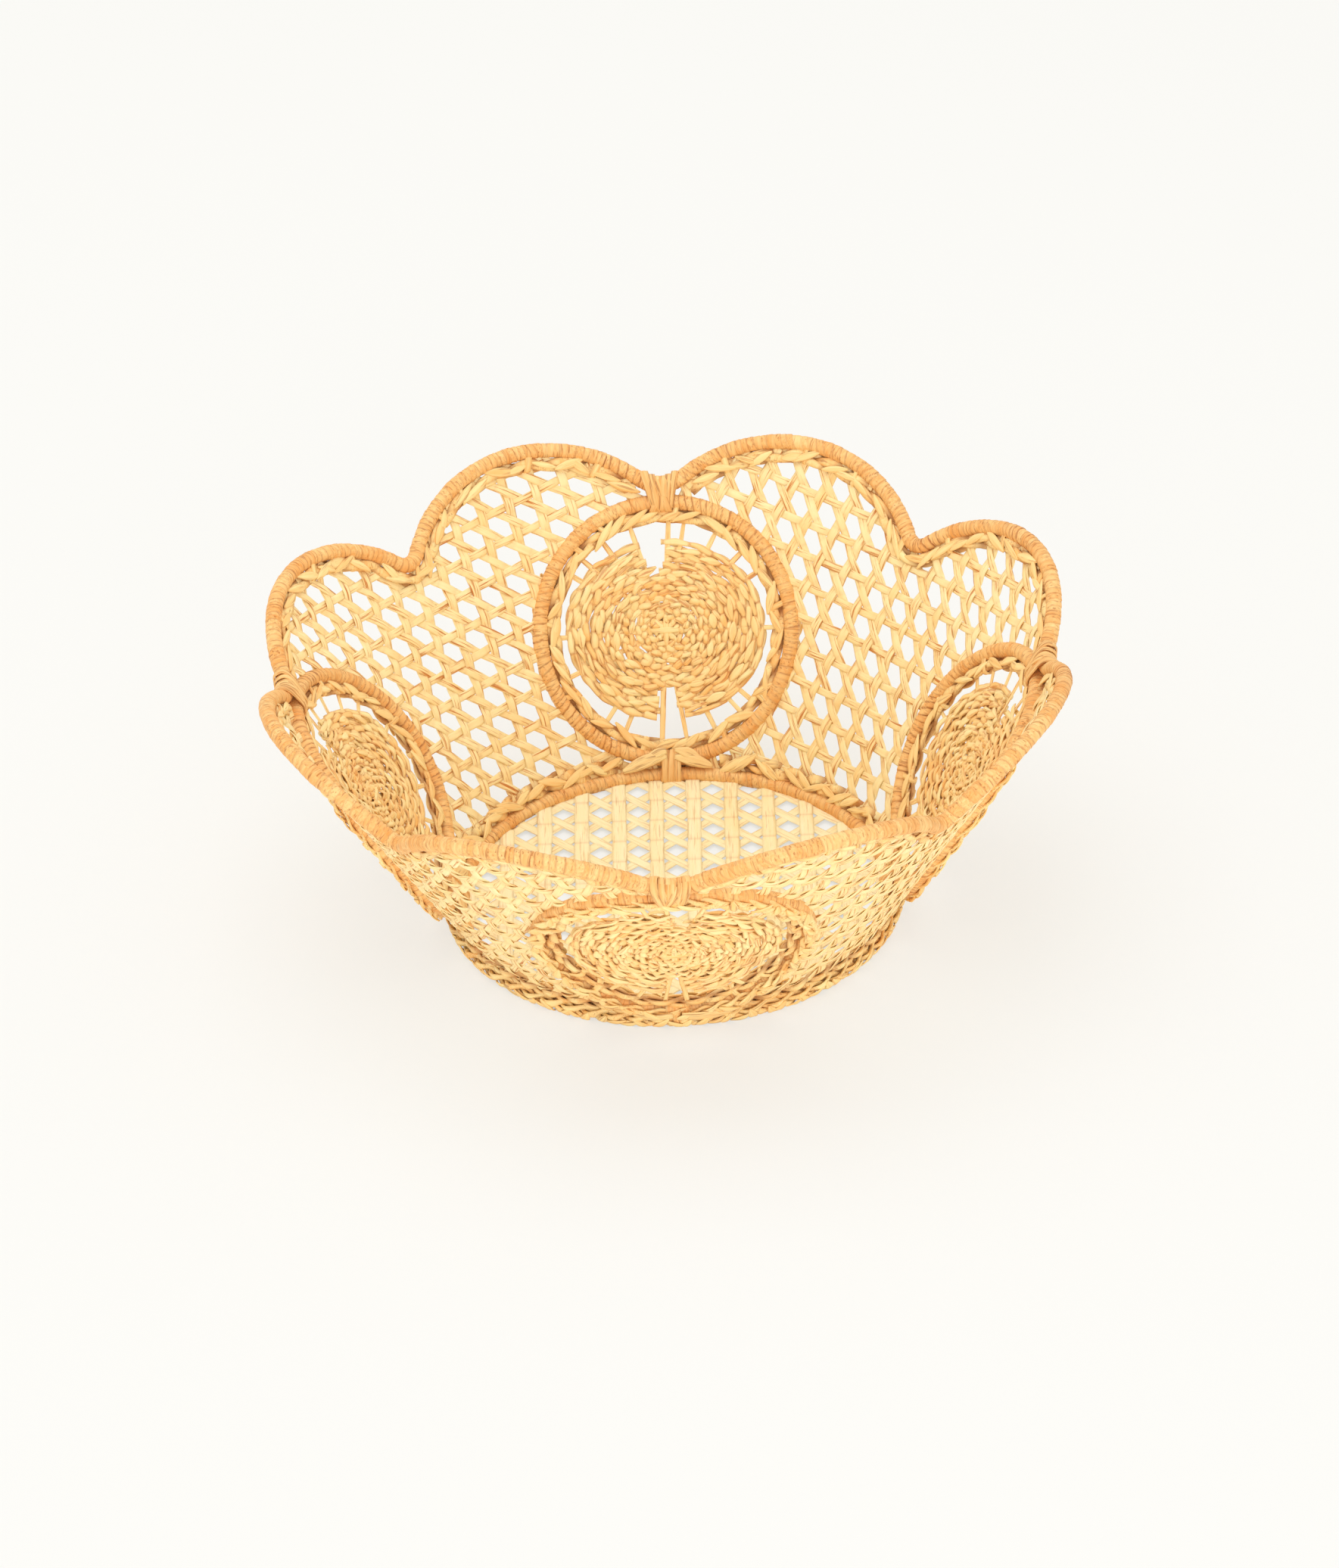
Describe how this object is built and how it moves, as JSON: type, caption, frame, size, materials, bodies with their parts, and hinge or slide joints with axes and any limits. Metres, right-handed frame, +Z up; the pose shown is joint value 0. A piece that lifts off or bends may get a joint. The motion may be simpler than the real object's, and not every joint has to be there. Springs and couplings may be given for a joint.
{
  "type": "woven basket",
  "caption": "Round open basket of palm strips on a wire frame, with a scalloped wound rim, woven round medallions and open netting in the flared wall.",
  "frame": {"origin": "middle of the ring it stands on, on the table", "axes": "+Z up through the open mouth, -Y towards the front medallion, +X to the right"},
  "size_m": [0.2662, 0.2662, 0.1054],
  "materials": {
    "frame_wire": "plain drawn wire",
    "palm_winding": "palm strip wound tight, slight sheen",
    "palm_base_net": "flat palm strips, slight sheen",
    "palm_wall_net": "flat palm strips, slight sheen",
    "palm_plait": "plaited palm strip, slight sheen",
    "palm_weave": "close weave of twisted palm strip",
    "palm_lashing": "palm strip wound over the joint"
  },
  "bodies": {
    "root": {"base_hoop_wire": "frame_wire", "base_hoop_wrap": "palm_winding", "base_net": "palm_base_net", "rim_wire": "frame_wire", "rim_wrap_front_right": "palm_winding", "rim_plait_front_right": "palm_plait", "hoop_plait_front_right": "palm_plait", "wall_net_front_right": "palm_wall_net", "rim_wrap_back_right": "palm_winding", "rim_plait_back_right": "palm_plait", "hoop_plait_back_right": "palm_plait", "wall_net_back_right": "palm_wall_net", "rim_wrap_back_left": "palm_winding", "rim_plait_back_left": "palm_plait", "hoop_plait_back_left": "palm_plait", "wall_net_back_left": "palm_wall_net", "rim_wrap_front_left": "palm_winding", "rim_plait_front_left": "palm_plait", "hoop_plait_front_left": "palm_plait", "wall_net_front_left": "palm_wall_net", "medallion_wire_front": "frame_wire", "medallion_wrap_front": "palm_winding", "medallion_plait_front": "palm_plait", "medallion_weave_front": "palm_weave", "top_lashing_front": "palm_lashing", "bottom_lashing_front": "palm_lashing", "medallion_wire_right": "frame_wire", "medallion_wrap_right": "palm_winding", "medallion_plait_right": "palm_plait", "medallion_weave_right": "palm_weave", "top_lashing_right": "palm_lashing", "bottom_lashing_right": "palm_lashing", "medallion_wire_back": "frame_wire", "medallion_wrap_back": "palm_winding", "medallion_plait_back": "palm_plait", "medallion_weave_back": "palm_weave", "top_lashing_back": "palm_lashing", "bottom_lashing_back": "palm_lashing", "medallion_wire_left": "frame_wire", "medallion_wrap_left": "palm_winding", "medallion_plait_left": "palm_plait", "medallion_weave_left": "palm_weave", "top_lashing_left": "palm_lashing", "bottom_lashing_left": "palm_lashing"}
  },
  "joints": []
}
